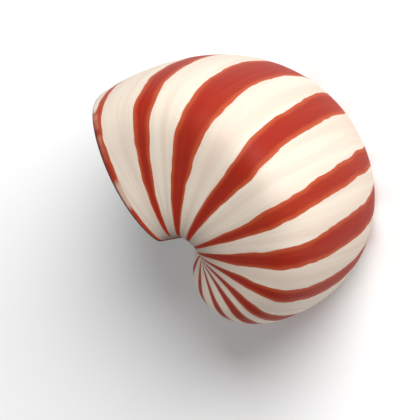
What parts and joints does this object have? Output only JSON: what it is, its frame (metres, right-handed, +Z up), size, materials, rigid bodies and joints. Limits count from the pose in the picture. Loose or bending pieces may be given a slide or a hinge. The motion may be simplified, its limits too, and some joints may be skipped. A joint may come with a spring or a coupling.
{
  "type": "nautilus shell",
  "caption": "Coiled nautilus shell with radiating red-brown bands, an open living chamber and a dished end wall, lying on its flank.",
  "frame": {"origin": "centre of the bounding box at the surface the shell lies on", "axes": "+Z up from that surface, -Y out of the opening of the living chamber, +X from the outer lip towards the coil"},
  "size_m": [0.1704, 0.1192, 0.1354],
  "materials": {
    "nautilus_shell": "smooth, softly glossy ivory shell with red-brown bands"
  },
  "bodies": {
    "root": {"nautilus_shell": "nautilus_shell"}
  },
  "joints": []
}
